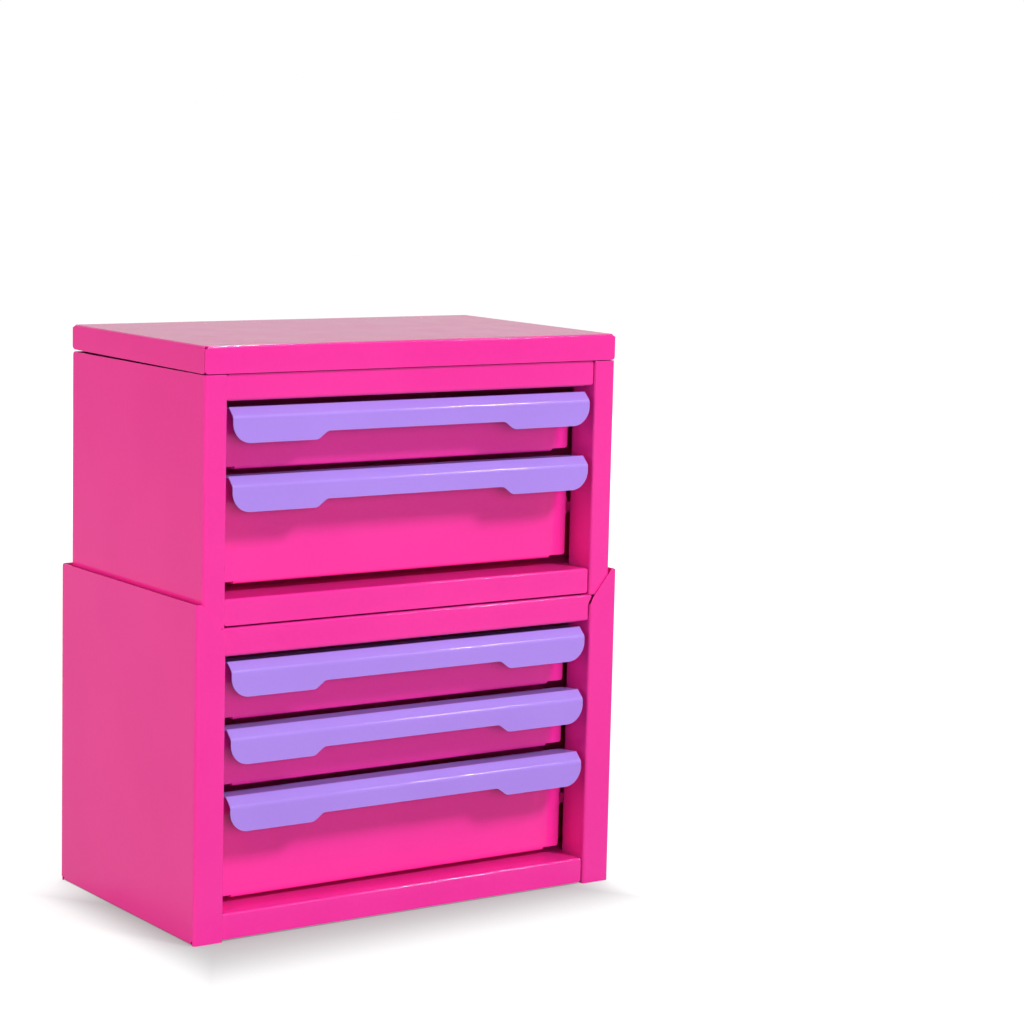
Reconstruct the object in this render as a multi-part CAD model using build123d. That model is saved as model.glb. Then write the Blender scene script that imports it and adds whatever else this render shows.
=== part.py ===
from build123d import *
from math import radians, sin, tan
import os

# Overall size of the unit on the table; the height adds up from the rails, the drawers and the lid
overall_width = 280.0
overall_depth = 162.0

# Sheet steel, its folds and the laps where sheets are welded
sheet = 0.8
bend = 1.6
lap = 10.0
seam_gap = 0.4
corner_relief = 2.0
back_edge_gap = 0.6
quarter_turn = 90.0

# Front frame, common to both chests
post_width = 13.9
return_depth = 21.5
foot_width = 12.0
foot_rise = 2.4
rail_height = 14.6
rail_lip = 8.0
rail_corner = 1.5
pan_flange = 10.0

# Lower chest
lower_rail_bottom = 0.9
deck_rail_height = 15.6
collar_height = 14.2
ear_flat = 3.4
ear_foot = 2.6
ear_drop = 1.0
ear_root = 6.0

# Upper chest, set inside the collar of the lower one
side_inset = 4.5
front_inset = 1.3
rear_inset = 3.7
upper_rail_gap = 1.0
till_rail_height = 14.4
till_flange_drop = 1.0

# Lid
lid_height = 14.6
lid_gap = 0.9
lid_corner_radius = 1.8
lid_slit = 0.4
lid_edge_set = 0.2
lid_relief = 1.5

# Drawers: one shallow and one deep above, two shallow and one deep below
shallow_height = 35.8
deep_height = 61.6
drawer_gap = 1.6
drawer_top_gap = 3.6
upper_bottom_gap = 4.6
lower_bottom_gap = 2.7
upper_drawer_count = 2
front_recess = 19.5
drawer_side_gap = 3.6
drawer_return = 6.0
drawer_edge_bend = 2.2
drawer_corner_radius = 3.0
drawer_notch_width = 12.0
drawer_notch_height = 1.5
drawer_bottom_flange = 9.0
tray_inset = 6.0
tray_rear_gap = 4.7
tray_rim_drop = 3.4
tray_corner = 3.0

# Pulls, as long as the drawer fronts
pull_flange = 14.3
pull_facet_drop = 4.9
pull_height = 19.2
pull_leg = 12.0
pull_corner_radius = 11.0
pull_end_length = 53.0
pull_cutout_slope = 8.5
pull_cutout_depth = 4.6
pull_cutout_round = 10.0
pull_bend = 1.3
pull_lip_bend = 6.0

# Slides
slide_half_height = 4.9
slide_top_clearance = 0.4
slide_tip_clearance = 0.8
slide_tail_gap = 3.6
slide_level_share = 0.47
rail_tip_step = 2.2
rail_front_gap = 1.6
rail_rear_gap = 3.0
rail_tab_height = 6.0
stop_half_height = 2.2
stop_reach_share = 0.68
slide_engagement = 30.0
upright_depth = 18.0
upright_flange = 10.0

# Hinges and rivets
hinge_inset = 55.5
hinge_length = 37.0
hinge_leaf_height = 9.0
knuckle_radius = 1.5
knuckle_gap = 0.3
knuckle_count = 3
knuckle_clear = 2.2
pin_radius = 0.6
pin_clearance = 0.1
hinge_sheet = 0.8
hinge_rivet_spacing = 24.0
hinge_rivet_drop = 6.6
rivet_shank = 1.3
rivet_head = 2.5
rivet_head_height = 0.9
rivet_tail = 1.9
rivet_tail_height = 0.6
pull_rivet_inset = 26.0
pull_rivet_drop = 7.4

# Widths and depths that follow from the sizes above
lower_half = overall_width / 2
lower_front = -overall_depth / 2
lower_back = overall_depth / 2
upper_half = lower_half - side_inset
upper_front = lower_front + front_inset
upper_back = lower_back - rear_inset
lower_rail_front = lower_front + sheet
upper_rail_front = upper_front + sheet
opening_half = upper_half - post_width
rail_half = opening_half - seam_gap
front_half = opening_half - drawer_side_gap
tray_half = front_half - tray_inset
tray_length = upper_back - tray_rear_gap - (upper_front + front_recess + 2 * sheet)
rail_web_inside = opening_half + sheet
rail_web_outside = rail_web_inside + sheet

# Heights that follow from them, from the table up
drawer_pitch = shallow_height + drawer_gap
lower_floor_top = lower_rail_bottom + rail_height
lower_rail_under = lower_floor_top + lower_bottom_gap + deep_height + 2 * drawer_pitch + drawer_top_gap
deck_top = lower_rail_under + deck_rail_height
ear_low = deck_top - ear_drop
ear_root_level = deck_top - ear_root
collar_top = deck_top + collar_height
upper_rail_bottom = deck_top + upper_rail_gap
upper_floor_top = upper_rail_bottom + rail_height
till_under = upper_floor_top + upper_bottom_gap + deep_height + drawer_pitch + drawer_top_gap
upper_top = till_under + till_rail_height
lid_low = upper_top + lid_gap
overall_height = lid_low + lid_height
pin_level = upper_top + lid_gap / 2
pin_depth = upper_back + knuckle_gap + knuckle_radius
upper_first_top = till_under - drawer_top_gap
lower_first_top = lower_rail_under - drawer_top_gap
drawer_tops = (
    upper_first_top,
    upper_first_top - drawer_pitch,
    lower_first_top,
    lower_first_top - drawer_pitch,
    lower_first_top - 2 * drawer_pitch,
)
drawer_heights = (shallow_height, deep_height, shallow_height, shallow_height, deep_height)


def slab(x0, x1, y0, y1, z0, z1):
    """Block between two planes across each axis."""
    return Pos((x0 + x1) / 2, (y0 + y1) / 2, (z0 + z1) / 2) * Box(x1 - x0, y1 - y0, z1 - z0)


def rounded_outline(corners):
    """Face inside a closed outline whose corners are (across, up, radius)."""
    starts, middles, ends = [], [], []
    for index, (across, up, radius) in enumerate(corners):
        here = Vector(across, up)
        before = Vector(*corners[index - 1][:2])
        after = Vector(*corners[(index + 1) % len(corners)][:2])
        if radius == 0:
            starts.append(here)
            middles.append(None)
            ends.append(here)
            continue
        back = (before - here).normalized()
        ahead = (after - here).normalized()
        half_angle = radians(back.get_angle(ahead)) / 2
        bisector = (back + ahead).normalized()
        starts.append(here + back * (radius / tan(half_angle)))
        ends.append(here + ahead * (radius / tan(half_angle)))
        middles.append(here + bisector * (radius / sin(half_angle) - radius))
    edges = []
    for index, middle in enumerate(middles):
        if middle is not None:
            edges.append(ThreePointArc(starts[index], middle, ends[index]))
        edges.append(Line(ends[index], starts[(index + 1) % len(corners)]))
    return make_face(edges)


def strip(points, radius=bend):
    """Face of a folded strip: points on its outer skin, at will with their own bend; metal to the left."""
    path = [Vector(*point[:2]) for point in points]
    bends = [point[2] if len(point) > 2 else radius for point in points]
    ways = [(after - before).normalized() for before, after in zip(path, path[1:])]
    sides = [Vector(-way.Y, way.X) for way in ways]
    skin = [(path[0].X, path[0].Y, 0)]
    inner = [path[0] + sides[0] * sheet]
    inner_radii = [0]
    for index in range(1, len(path) - 1):
        mitre = (sides[index - 1] + sides[index]) * (sheet / (1 + sides[index - 1].dot(sides[index])))
        left_turn = ways[index - 1].cross(ways[index]).Z > 0
        skin.append((path[index].X, path[index].Y, bends[index] if left_turn else bends[index] - sheet))
        inner.append(path[index] + mitre)
        inner_radii.append(bends[index] - sheet if left_turn else bends[index])
    skin.append((path[-1].X, path[-1].Y, 0))
    inner.append(path[-1] + sides[-1] * sheet)
    inner_radii.append(0)
    inside = [(point.X, point.Y, size) for point, size in zip(inner, inner_radii)]
    return rounded_outline(skin + inside[::-1])


def along_x(face, x0, x1):
    """Profile drawn in depth and height, drawn out across the unit."""
    return Pos(x0, 0, 0) * extrude(Plane.YZ * face, amount=x1 - x0, dir=(1, 0, 0))


def along_y(face, y0, y1):
    """Profile drawn in width and height, drawn out from front to back."""
    return Pos(0, y0, 0) * extrude(Plane.XZ * face, amount=y1 - y0, dir=(0, 1, 0))


def along_z(face, z0, z1):
    """Profile drawn in plan, drawn out upwards."""
    return Pos(0, 0, z0) * extrude(face, amount=z1 - z0, dir=(0, 0, 1))


def round_bar(radius, length, x, y, z, turn):
    """Round bar centred on a point, along the axis that the turn gives."""
    return Pos(x, y, z) * turn * Cylinder(radius, length)


def across_bar(radius, x0, x1, y, z):
    """Round bar across the unit."""
    return round_bar(radius, x1 - x0, (x0 + x1) / 2, y, z, Rot(0, quarter_turn, 0))


def depth_bar(radius, x, y0, y1, z):
    """Round bar from front to back."""
    return round_bar(radius, y1 - y0, x, (y0 + y1) / 2, z, Rot(quarter_turn, 0, 0))


def mirrored(shape):
    """The same piece for the other side of the unit."""
    return mirror(shape, about=Plane.YZ)


def pair(shape):
    """A right-hand piece and its left-hand twin, as separate solids."""
    return Compound(children=[shape.solid(), mirrored(shape).solid()])


def rivet(x, y_head, y_tail, z):
    """Set blind rivet whose head bears on one plane and whose tail bears on the other."""
    away = 1 if y_head > y_tail else -1
    low, high = sorted((y_head, y_tail))
    head = sorted((y_head, y_head + away * rivet_head_height))
    tail = sorted((y_tail, y_tail - away * rivet_tail_height))
    shank = depth_bar(rivet_shank, x, low, high, z)
    return shank + depth_bar(rivet_head, x, *head, z) + depth_bar(rivet_tail, x, *tail, z)


def side_panel(half, front, back, base, top):
    """Left side panel: rear turned edge, wall, front post, post return and the foot it stands on."""
    rear = back - sheet
    plan = strip([
        (-half + lap, rear),
        (-half, rear),
        (-half, front),
        (-opening_half, front),
        (-opening_half, front + return_depth),
    ])
    foot = strip([(-half, base + foot_rise), (-half, base), (-half + foot_width, base)])
    foot_front = front + corner_relief
    foot_rear = rear - corner_relief
    panel = along_z(plan, base, top)
    panel -= slab(-half, -half + sheet, foot_front, foot_rear, base, base + foot_rise)
    return panel + along_y(foot, foot_front + seam_gap, foot_rear - seam_gap)


def rail_outline(low, high):
    """Outline of a front rail between the posts, with eased corners."""
    return [
        (-rail_half, low, rail_corner),
        (rail_half, low, rail_corner),
        (rail_half, high, rail_corner),
        (-rail_half, high, rail_corner),
    ]


def pan(front, rear, profile, outline, flange):
    """Cross panel: a rail a sheet behind the posts' faces, and a wide part with turned edges."""
    wide_front = front + return_depth + seam_gap
    reach = max(corner[0] for corner in outline)
    narrow = along_x(strip(profile), -reach, reach) & along_y(rounded_outline(outline), front, rear)
    return narrow + along_y(strip(flange), wide_front, rear - (bend - sheet))


def uprights(back, base, top):
    """Pair of rear angles that carry the back ends of the cabinet rails."""
    rear = back - 2 * sheet
    angle = strip([
        (rail_web_outside + upright_flange, rear),
        (rail_web_outside, rear),
        (rail_web_outside, rear - upright_depth),
    ])
    return pair(along_z(angle, base, top))


# Lower chest
lower_rear = lower_back - 2 * sheet
lower_inner = lower_half - sheet
lower_left_side = side_panel(lower_half, lower_front, lower_back, 0, collar_top)
ear_cut = make_face(Polyline(
    (-lower_half + ear_flat, collar_top),
    (-opening_half - ear_foot, ear_low),
    (-opening_half, ear_root_level),
    (-opening_half + sheet, ear_root_level),
    (-opening_half + sheet, collar_top),
    close=True,
))
lower_left_side -= along_y(ear_cut, lower_front, lower_front + return_depth)
lower_right_side = mirrored(lower_left_side)
lower_back_half = lower_half - back_edge_gap
lower_back_panel = slab(-lower_back_half, lower_back_half, lower_back - sheet, lower_back, sheet, collar_top)
lower_floor_pan = pan(lower_rail_front, lower_rear, [
    (lower_rear, lower_floor_top),
    (lower_rail_front, lower_floor_top),
    (lower_rail_front, lower_rail_bottom),
], rail_outline(lower_rail_bottom, lower_floor_top), [
    (lower_inner, lower_floor_top - pan_flange),
    (lower_inner, lower_floor_top),
    (-lower_inner, lower_floor_top),
    (-lower_inner, lower_floor_top - pan_flange),
])
deck_ear = rail_half + ear_foot
deck_outline = [
    (-rail_half, lower_rail_under, rail_corner),
    (rail_half, lower_rail_under, rail_corner),
    (rail_half, ear_root_level, 0),
    (deck_ear, ear_low, 0),
    (deck_ear, deck_top, 0),
    (-deck_ear, deck_top, 0),
    (-deck_ear, ear_low, 0),
    (-rail_half, ear_root_level, 0),
]
lower_deck = pan(lower_rail_front, lower_rear, [
    (lower_rear, deck_top),
    (lower_rail_front, deck_top),
    (lower_rail_front, lower_rail_under),
    (lower_rail_front + rail_lip, lower_rail_under),
], deck_outline, [
    (lower_inner, deck_top - pan_flange),
    (lower_inner, deck_top),
    (-lower_inner, deck_top),
    (-lower_inner, deck_top - pan_flange),
])
lower_uprights = uprights(lower_back, lower_floor_top, deck_top - sheet)

# Upper chest
upper_rear = upper_back - 2 * sheet
upper_inner = upper_half - sheet
upper_left_side = side_panel(upper_half, upper_front, upper_back, deck_top, upper_top)
upper_right_side = mirrored(upper_left_side)
upper_back_half = upper_half - back_edge_gap
upper_back_panel = slab(
    -upper_back_half, upper_back_half, upper_back - sheet, upper_back, deck_top + sheet, upper_top)
upper_floor_pan = pan(upper_rail_front, upper_rear, [
    (upper_rear, upper_floor_top),
    (upper_rail_front, upper_floor_top),
    (upper_rail_front, upper_rail_bottom),
], rail_outline(upper_rail_bottom, upper_floor_top), [
    (upper_inner, upper_floor_top - pan_flange),
    (upper_inner, upper_floor_top),
    (-upper_inner, upper_floor_top),
    (-upper_inner, upper_floor_top - pan_flange),
])
till_flange_top = upper_top - till_flange_drop
upper_till = pan(upper_rail_front, upper_rear, [
    (upper_rail_front, upper_top),
    (upper_rail_front, till_under),
    (upper_rear, till_under),
], rail_outline(till_under, upper_top), [
    (-upper_inner, till_flange_top),
    (-upper_inner, till_under),
    (upper_inner, till_under),
    (upper_inner, till_flange_top),
])
upper_uprights = uprights(upper_back, upper_floor_top, till_under)

# Lid: a folded pan, its four flanges closed up at the corners
lid_fold = overall_height - bend
lid_flange_top = lid_fold - lid_relief
lid_cover = along_x(strip([
    (upper_back, lid_low),
    (upper_back, overall_height),
    (upper_front, overall_height),
    (upper_front, lid_low),
]), -upper_half + corner_relief, upper_half - corner_relief)
lid_cover += along_y(strip([
    (upper_half, lid_low),
    (upper_half, overall_height),
    (-upper_half, overall_height),
    (-upper_half, lid_low),
]), upper_front + corner_relief, upper_back - corner_relief)
wing_half = upper_half - lid_edge_set
lid_wing = rounded_outline([
    (-wing_half, lid_low, lid_corner_radius),
    (wing_half, lid_low, lid_corner_radius),
    (wing_half, lid_flange_top, 0),
    (-wing_half, lid_flange_top, 0),
])
lid_cover += along_y(lid_wing, upper_front, upper_front + sheet)
lid_cover += along_y(lid_wing, upper_back - sheet, upper_back)
side_wing_front = upper_front + sheet + lid_slit
side_wing_back = upper_back - sheet - lid_slit
lid_side_wing = rounded_outline([
    (side_wing_front, lid_low, lid_corner_radius),
    (side_wing_back, lid_low, lid_corner_radius),
    (side_wing_back, lid_flange_top, 0),
    (side_wing_front, lid_flange_top, 0),
])
lid_cover += along_x(lid_side_wing, -upper_half, -upper_half + sheet)
lid_cover += along_x(lid_side_wing, upper_half - sheet, upper_half)

# Lid hinges: outer knuckles on the chest, the middle knuckle on the lid, one pin through each row
hinge_centres = (-upper_half + hinge_inset, upper_half - hinge_inset)
knuckle_length = (hinge_length - (knuckle_count - 1) * knuckle_gap) / knuckle_count
leaf_face = upper_back + hinge_sheet


def hinge_leaf(centre, way, knuckles, bore):
    """Leaf that lies on the back, above (way 1) or below (way -1) the pin, with its knuckles."""
    start = centre - hinge_length / 2
    near = pin_level + way * knuckle_clear
    far = near + way * hinge_leaf_height
    plate_levels = sorted((near, far))
    leaf = slab(start, start + hinge_length, upper_back, leaf_face, *plate_levels)
    strap_levels = sorted((pin_level, near))
    for knuckle in knuckles:
        x0 = start + knuckle * (knuckle_length + knuckle_gap)
        x1 = x0 + knuckle_length
        leaf += slab(x0, x1, upper_back, leaf_face, *strap_levels)
        leaf += across_bar(knuckle_radius, x0, x1, pin_depth, pin_level)
    leaf -= across_bar(bore, start, start + hinge_length, pin_depth, pin_level)
    for x in hinge_rivet_places(centre):
        leaf -= depth_bar(rivet_shank, x, upper_back, leaf_face, pin_level + way * hinge_rivet_drop)
    return leaf.solid()


def hinge_rivet_places(centre):
    """Places of a leaf's two rivets across the unit."""
    return (centre - hinge_rivet_spacing / 2, centre + hinge_rivet_spacing / 2)


hinge_chest_leaves = Compound(children=[hinge_leaf(c, -1, (0, 2), pin_radius) for c in hinge_centres])
lid_bore = pin_radius + pin_clearance
hinge_lid_leaves = Compound(children=[hinge_leaf(c, 1, (1,), lid_bore) for c in hinge_centres])
hinge_pins = Compound(children=[
    across_bar(pin_radius, c - hinge_length / 2, c + hinge_length / 2, pin_depth, pin_level).solid()
    for c in hinge_centres
])
chest_rivets, lid_rivets = [], []
back_inside = upper_back - sheet
for hinge_centre in hinge_centres:
    for rivet_x in hinge_rivet_places(hinge_centre):
        low_z = pin_level - hinge_rivet_drop
        high_z = pin_level + hinge_rivet_drop
        upper_back_panel -= depth_bar(rivet_shank, rivet_x, back_inside, upper_back, low_z)
        lid_cover -= depth_bar(rivet_shank, rivet_x, back_inside, upper_back, high_z)
        chest_rivets.append(rivet(rivet_x, leaf_face, back_inside, low_z).solid())
        lid_rivets.append(rivet(rivet_x, leaf_face, back_inside, high_z).solid())
hinge_chest_rivets = Compound(children=chest_rivets)
hinge_lid_rivets = Compound(children=lid_rivets)


def drawer_front(face, low, top):
    """Front panel: turned vertical edges, a turned bottom edge between the end notches."""
    plan = strip([
        (-front_half, face + drawer_return),
        (-front_half, face),
        (front_half, face),
        (front_half, face + drawer_return),
    ], drawer_edge_bend)
    ends_low = low + drawer_notch_height
    outline = rounded_outline([
        (-front_half, ends_low, drawer_corner_radius),
        (front_half, ends_low, drawer_corner_radius),
        (front_half, top, 0),
        (-front_half, top, 0),
    ])
    panel = along_z(plan, ends_low, top) & along_y(outline, face, face + drawer_return)
    turned = strip([
        (face, low + drawer_bottom_flange),
        (face, low),
        (face + drawer_bottom_flange, low),
    ])
    turned_half = front_half - drawer_notch_width
    return panel + along_x(turned, -turned_half, turned_half)


def drawer_tray(face, low, top):
    """Open box behind the front and the pull's leg, with rounded corners."""
    front = face + 2 * sheet
    base = low + sheet
    rim = top - tray_rim_drop
    block = slab(-tray_half, tray_half, front, front + tray_length, base, rim)
    room = slab(
        -tray_half + sheet, tray_half - sheet, front + sheet, front + tray_length - sheet, base + sheet, rim)
    block = fillet(block.edges().filter_by(Axis.Z), tray_corner)
    room = fillet(room.edges().filter_by(Axis.Z), tray_corner - sheet)
    block = fillet(block.faces().sort_by(Axis.Z)[0].edges(), bend)
    room = fillet(room.faces().sort_by(Axis.Z)[0].edges(), bend - sheet)
    return block - room


def drawer_pull(face, top):
    """Pull: leg behind the drawer front, top flange, slanting facet and lip with a finger cutout."""
    lip = face - front_recess
    bottom = top - pull_height
    leg_back = face + 2 * sheet
    leg_low = top - pull_leg
    profile = strip([
        (leg_back, leg_low),
        (leg_back, top),
        (face - pull_flange, top),
        (lip, top - pull_facet_drop, pull_lip_bend),
        (lip, bottom),
    ], pull_bend)
    cut_half = front_half - pull_end_length
    flat_half = cut_half - pull_cutout_slope
    outline = rounded_outline([
        (-front_half, top, 0),
        (-front_half, bottom, pull_corner_radius),
        (-cut_half, bottom, pull_cutout_round),
        (-flat_half, bottom + pull_cutout_depth, pull_cutout_round),
        (flat_half, bottom + pull_cutout_depth, pull_cutout_round),
        (cut_half, bottom, pull_cutout_round),
        (front_half, bottom, pull_corner_radius),
        (front_half, top, 0),
    ])
    pull = along_x(profile, -front_half, front_half) & along_y(outline, lip, leg_back)
    leg_half = front_half - drawer_edge_bend - seam_gap
    pull -= slab(leg_half, front_half, face, leg_back, leg_low, top)
    return pull - slab(-front_half, -leg_half, face, leg_back, leg_low, top)


def cabinet_rails(front, face, rear, level):
    """Pair of channels that the drawer runs in, welded to the post returns and the rear uprights."""
    start = face + drawer_return + rail_front_gap
    end = rear - rail_rear_gap
    tip = tray_half + rail_tip_step
    low = level - slide_half_height - sheet
    high = level + slide_half_height + slide_top_clearance + sheet
    channel = strip([(tip, low), (rail_web_outside, low), (rail_web_outside, high), (tip, high)])
    rail = along_y(channel, start, end)
    tab_front = front + return_depth - lap
    tab_half = rail_tab_height / 2
    rail += slab(rail_web_inside, rail_web_outside, tab_front, start, level - tab_half, level + tab_half)
    stop_front = start + slide_engagement
    stop_tip = tray_half + (rail_web_inside - tray_half) * (1 - stop_reach_share)
    rail += slab(stop_tip, rail_web_inside, stop_front, stop_front + sheet,
                 level - stop_half_height, level + stop_half_height)
    return pair(rail)


def slide_members(face, level):
    """Pair of channels on the tray that run inside the cabinet rails up to their stop tabs."""
    start = face + drawer_return + rail_front_gap
    end = face + 2 * sheet + tray_length - slide_tail_gap
    stop_front = end - sheet
    tip = opening_half - slide_tip_clearance
    low = level - slide_half_height
    high = level + slide_half_height
    channel = strip([(tip, high), (tray_half, high), (tray_half, low), (tip, low)])
    member = along_y(channel, start, end)
    stop_tip = tray_half + (rail_web_inside - tray_half) * stop_reach_share
    member += slab(tray_half + sheet, stop_tip, stop_front, end,
                   level - stop_half_height, level + stop_half_height)
    return pair(member)


nodes = {
    "lower_left_side": lower_left_side,
    "lower_right_side": lower_right_side,
    "lower_back_panel": lower_back_panel,
    "lower_floor_pan": lower_floor_pan,
    "lower_deck": lower_deck,
    "lower_uprights": lower_uprights,
    "upper_left_side": upper_left_side,
    "upper_right_side": upper_right_side,
    "upper_back_panel": upper_back_panel,
    "upper_floor_pan": upper_floor_pan,
    "upper_till": upper_till,
    "upper_uprights": upper_uprights,
    "lid_cover": lid_cover,
    "hinge_chest_leaves": hinge_chest_leaves,
    "hinge_lid_leaves": hinge_lid_leaves,
    "hinge_pins": hinge_pins,
    "hinge_chest_rivets": hinge_chest_rivets,
    "hinge_lid_rivets": hinge_lid_rivets,
}

# Drawers, numbered from the top down
pull_rivet_reach = front_half - pull_rivet_inset
pull_rivet_places = (-pull_rivet_reach, 0, pull_rivet_reach)
for number, (drawer_top, drawer_height) in enumerate(zip(drawer_tops, drawer_heights), start=1):
    is_upper = number <= upper_drawer_count
    chest_front = upper_front if is_upper else lower_front
    chest_rear = upper_rear if is_upper else lower_rear
    drawer_face = chest_front + front_recess
    drawer_low = drawer_top - drawer_height
    slide_level = drawer_low + drawer_height * slide_level_share
    front_piece = drawer_front(drawer_face, drawer_low, drawer_top - pull_bend)
    tray_piece = drawer_tray(drawer_face, drawer_low, drawer_top)
    pull_piece = drawer_pull(drawer_face, drawer_top)
    rivet_z = drawer_top - pull_rivet_drop
    rivet_tail_face = drawer_face + 3 * sheet
    rivet_solids = []
    for rivet_x in pull_rivet_places:
        hole = depth_bar(rivet_shank, rivet_x, drawer_face, rivet_tail_face, rivet_z)
        front_piece -= hole
        tray_piece -= hole
        pull_piece -= hole
        rivet_solids.append(rivet(rivet_x, drawer_face, rivet_tail_face, rivet_z).solid())
    name = f"drawer_{number}"
    nodes[f"{name}_front"] = front_piece
    nodes[f"{name}_tray"] = tray_piece
    nodes[f"{name}_pull"] = pull_piece
    nodes[f"{name}_pull_rivets"] = Compound(children=rivet_solids)
    nodes[f"{name}_slide_members"] = slide_members(drawer_face, slide_level)
    nodes[f"{name}_cabinet_rails"] = cabinet_rails(chest_front, drawer_face, chest_rear, slide_level)

os.makedirs("parts", exist_ok=True)
for node_name, shape in nodes.items():
    solids = shape.solids()
    print(node_name, len(solids), "solid(s)", round(sum(solid.volume for solid in solids)), "mm3")
    export_step(shape, f"parts/{node_name}.step")
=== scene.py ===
"""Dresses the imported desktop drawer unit: folded sheets, pulls, rivets, coats, studio and camera."""

import logging
import math
from dataclasses import astuple, dataclass, field
from enum import Enum
from typing import Optional, Sequence

import bmesh
import bpy
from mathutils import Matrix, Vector


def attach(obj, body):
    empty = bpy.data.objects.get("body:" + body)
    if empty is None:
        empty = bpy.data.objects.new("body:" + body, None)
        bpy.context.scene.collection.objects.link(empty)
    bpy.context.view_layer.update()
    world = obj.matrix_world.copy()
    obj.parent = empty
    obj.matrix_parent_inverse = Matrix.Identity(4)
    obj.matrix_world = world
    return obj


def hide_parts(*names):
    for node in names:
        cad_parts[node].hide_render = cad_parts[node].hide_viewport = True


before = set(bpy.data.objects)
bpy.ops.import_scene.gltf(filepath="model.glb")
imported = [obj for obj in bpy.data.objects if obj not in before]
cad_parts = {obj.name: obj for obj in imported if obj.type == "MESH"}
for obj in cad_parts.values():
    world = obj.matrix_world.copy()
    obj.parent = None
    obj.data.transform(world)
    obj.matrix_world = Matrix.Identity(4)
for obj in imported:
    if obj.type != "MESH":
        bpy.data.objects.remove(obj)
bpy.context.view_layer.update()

MM = 0.001
SLACK = 1e-6
MERGE_REACH = 1e-7
SLIVER_AREA = 1e-9
CORNER_SHARES = (0.08, 0.3, 0.6, 1.0)

Flat = tuple[float, float]
Point = tuple[float, float, float]
Colour = tuple[float, float, float]
Tree = bpy.types.NodeTree
Socket = bpy.types.NodeSocket
Material = bpy.types.Material
Piece = bpy.types.Object

log = logging.getLogger("drawer_unit")


class Hand(Enum):
    """Side of the unit that a piece is made for."""

    LEFT = 1
    RIGHT = -1


class Finish(Enum):
    """Finishes of the record's material slots."""

    PINK = "pink_coat"
    LAVENDER = "lavender_coat"
    ZINC = "zinc_steel"


class Rail(Enum):
    """How a cross panel's front rail hangs on its flat part."""

    BELOW = "turned down"
    LIPPED = "turned down and in"
    ABOVE = "turned up"


# ---------------------------------------------------------------- nodes


def socket(tree: Tree, kind: str, name: str, way: str) -> None:
    """Adds a named socket to a node group.

    Args:
        tree: The group.
        kind: Type of socket, such as NodeSocketFloat.
        name: Name of the socket.
        way: INPUT or OUTPUT.
    """
    tree.interface.new_socket(name=name, in_out=way, socket_type=kind)


def add_node(tree: Tree, kind: str, inputs: Optional[dict] = None) -> bpy.types.Node:
    """Places a node and fills its inputs.

    Args:
        tree: Tree that gets the node.
        kind: Type of the node.
        inputs: Values by the inputs' names or numbers: a socket is linked, all else is set.

    Returns:
        The node.
    """
    node = tree.nodes.new(kind)
    for name, value in (inputs or {}).items():
        if isinstance(value, Socket):
            tree.links.new(value, node.inputs[name])
        else:
            node.inputs[name].default_value = value
    return node


def noise(tree: Tree, vector: Socket, scale: float, detail: float) -> Socket:
    """Places a noise texture.

    Args:
        tree: Tree that gets the node.
        vector: Coordinates that it reads.
        scale: Cycles in a metre.
        detail: Octaves.

    Returns:
        The noise value.
    """
    inputs = {"Vector": vector, "Scale": scale, "Detail": detail}
    return add_node(tree, "ShaderNodeTexNoise", inputs).outputs["Fac"]


def spread(
    tree: Tree, value: Socket, low: float, high: float, to_low: float = 0.0, to_high: float = 1.0
) -> Socket:
    """Maps one range of a value to another.

    Args:
        tree: Tree that gets the node.
        value: Value to map.
        low: Start of its range.
        high: End of its range.
        to_low: Result at the start.
        to_high: Result at the end.

    Returns:
        The mapped value.
    """
    node = add_node(tree, "ShaderNodeMapRange", {
        "Value": value, "From Min": low, "From Max": high, "To Min": to_low, "To Max": to_high,
    })
    node.interpolation_type = "SMOOTHERSTEP"
    return node.outputs["Result"]


def maths(tree: Tree, what: str, one: Socket, other: "Socket | float") -> Socket:
    """Places a maths node on two values.

    Args:
        tree: Tree that gets the node.
        what: Operation.
        one: First value.
        other: Second value, a socket or a number.

    Returns:
        The result.
    """
    node = add_node(tree, "ShaderNodeMath", {0: one, 1: other})
    node.operation = what
    return node.outputs[0]


def blend_colours(tree: Tree, share: Socket, one: Socket, other: Socket) -> Socket:
    """Mixes two colours.

    Args:
        tree: Tree that gets the node.
        share: How much of the second shows.
        one: First colour.
        other: Second colour.

    Returns:
        The mixed colour.
    """
    node = add_node(tree, "ShaderNodeMix")
    node.data_type = "RGBA"
    for place, value in (("Factor", share), (6, one), (7, other)):
        tree.links.new(value, node.inputs[place])
    return node.outputs[2]


# ---------------------------------------------------------------- finishes


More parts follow.
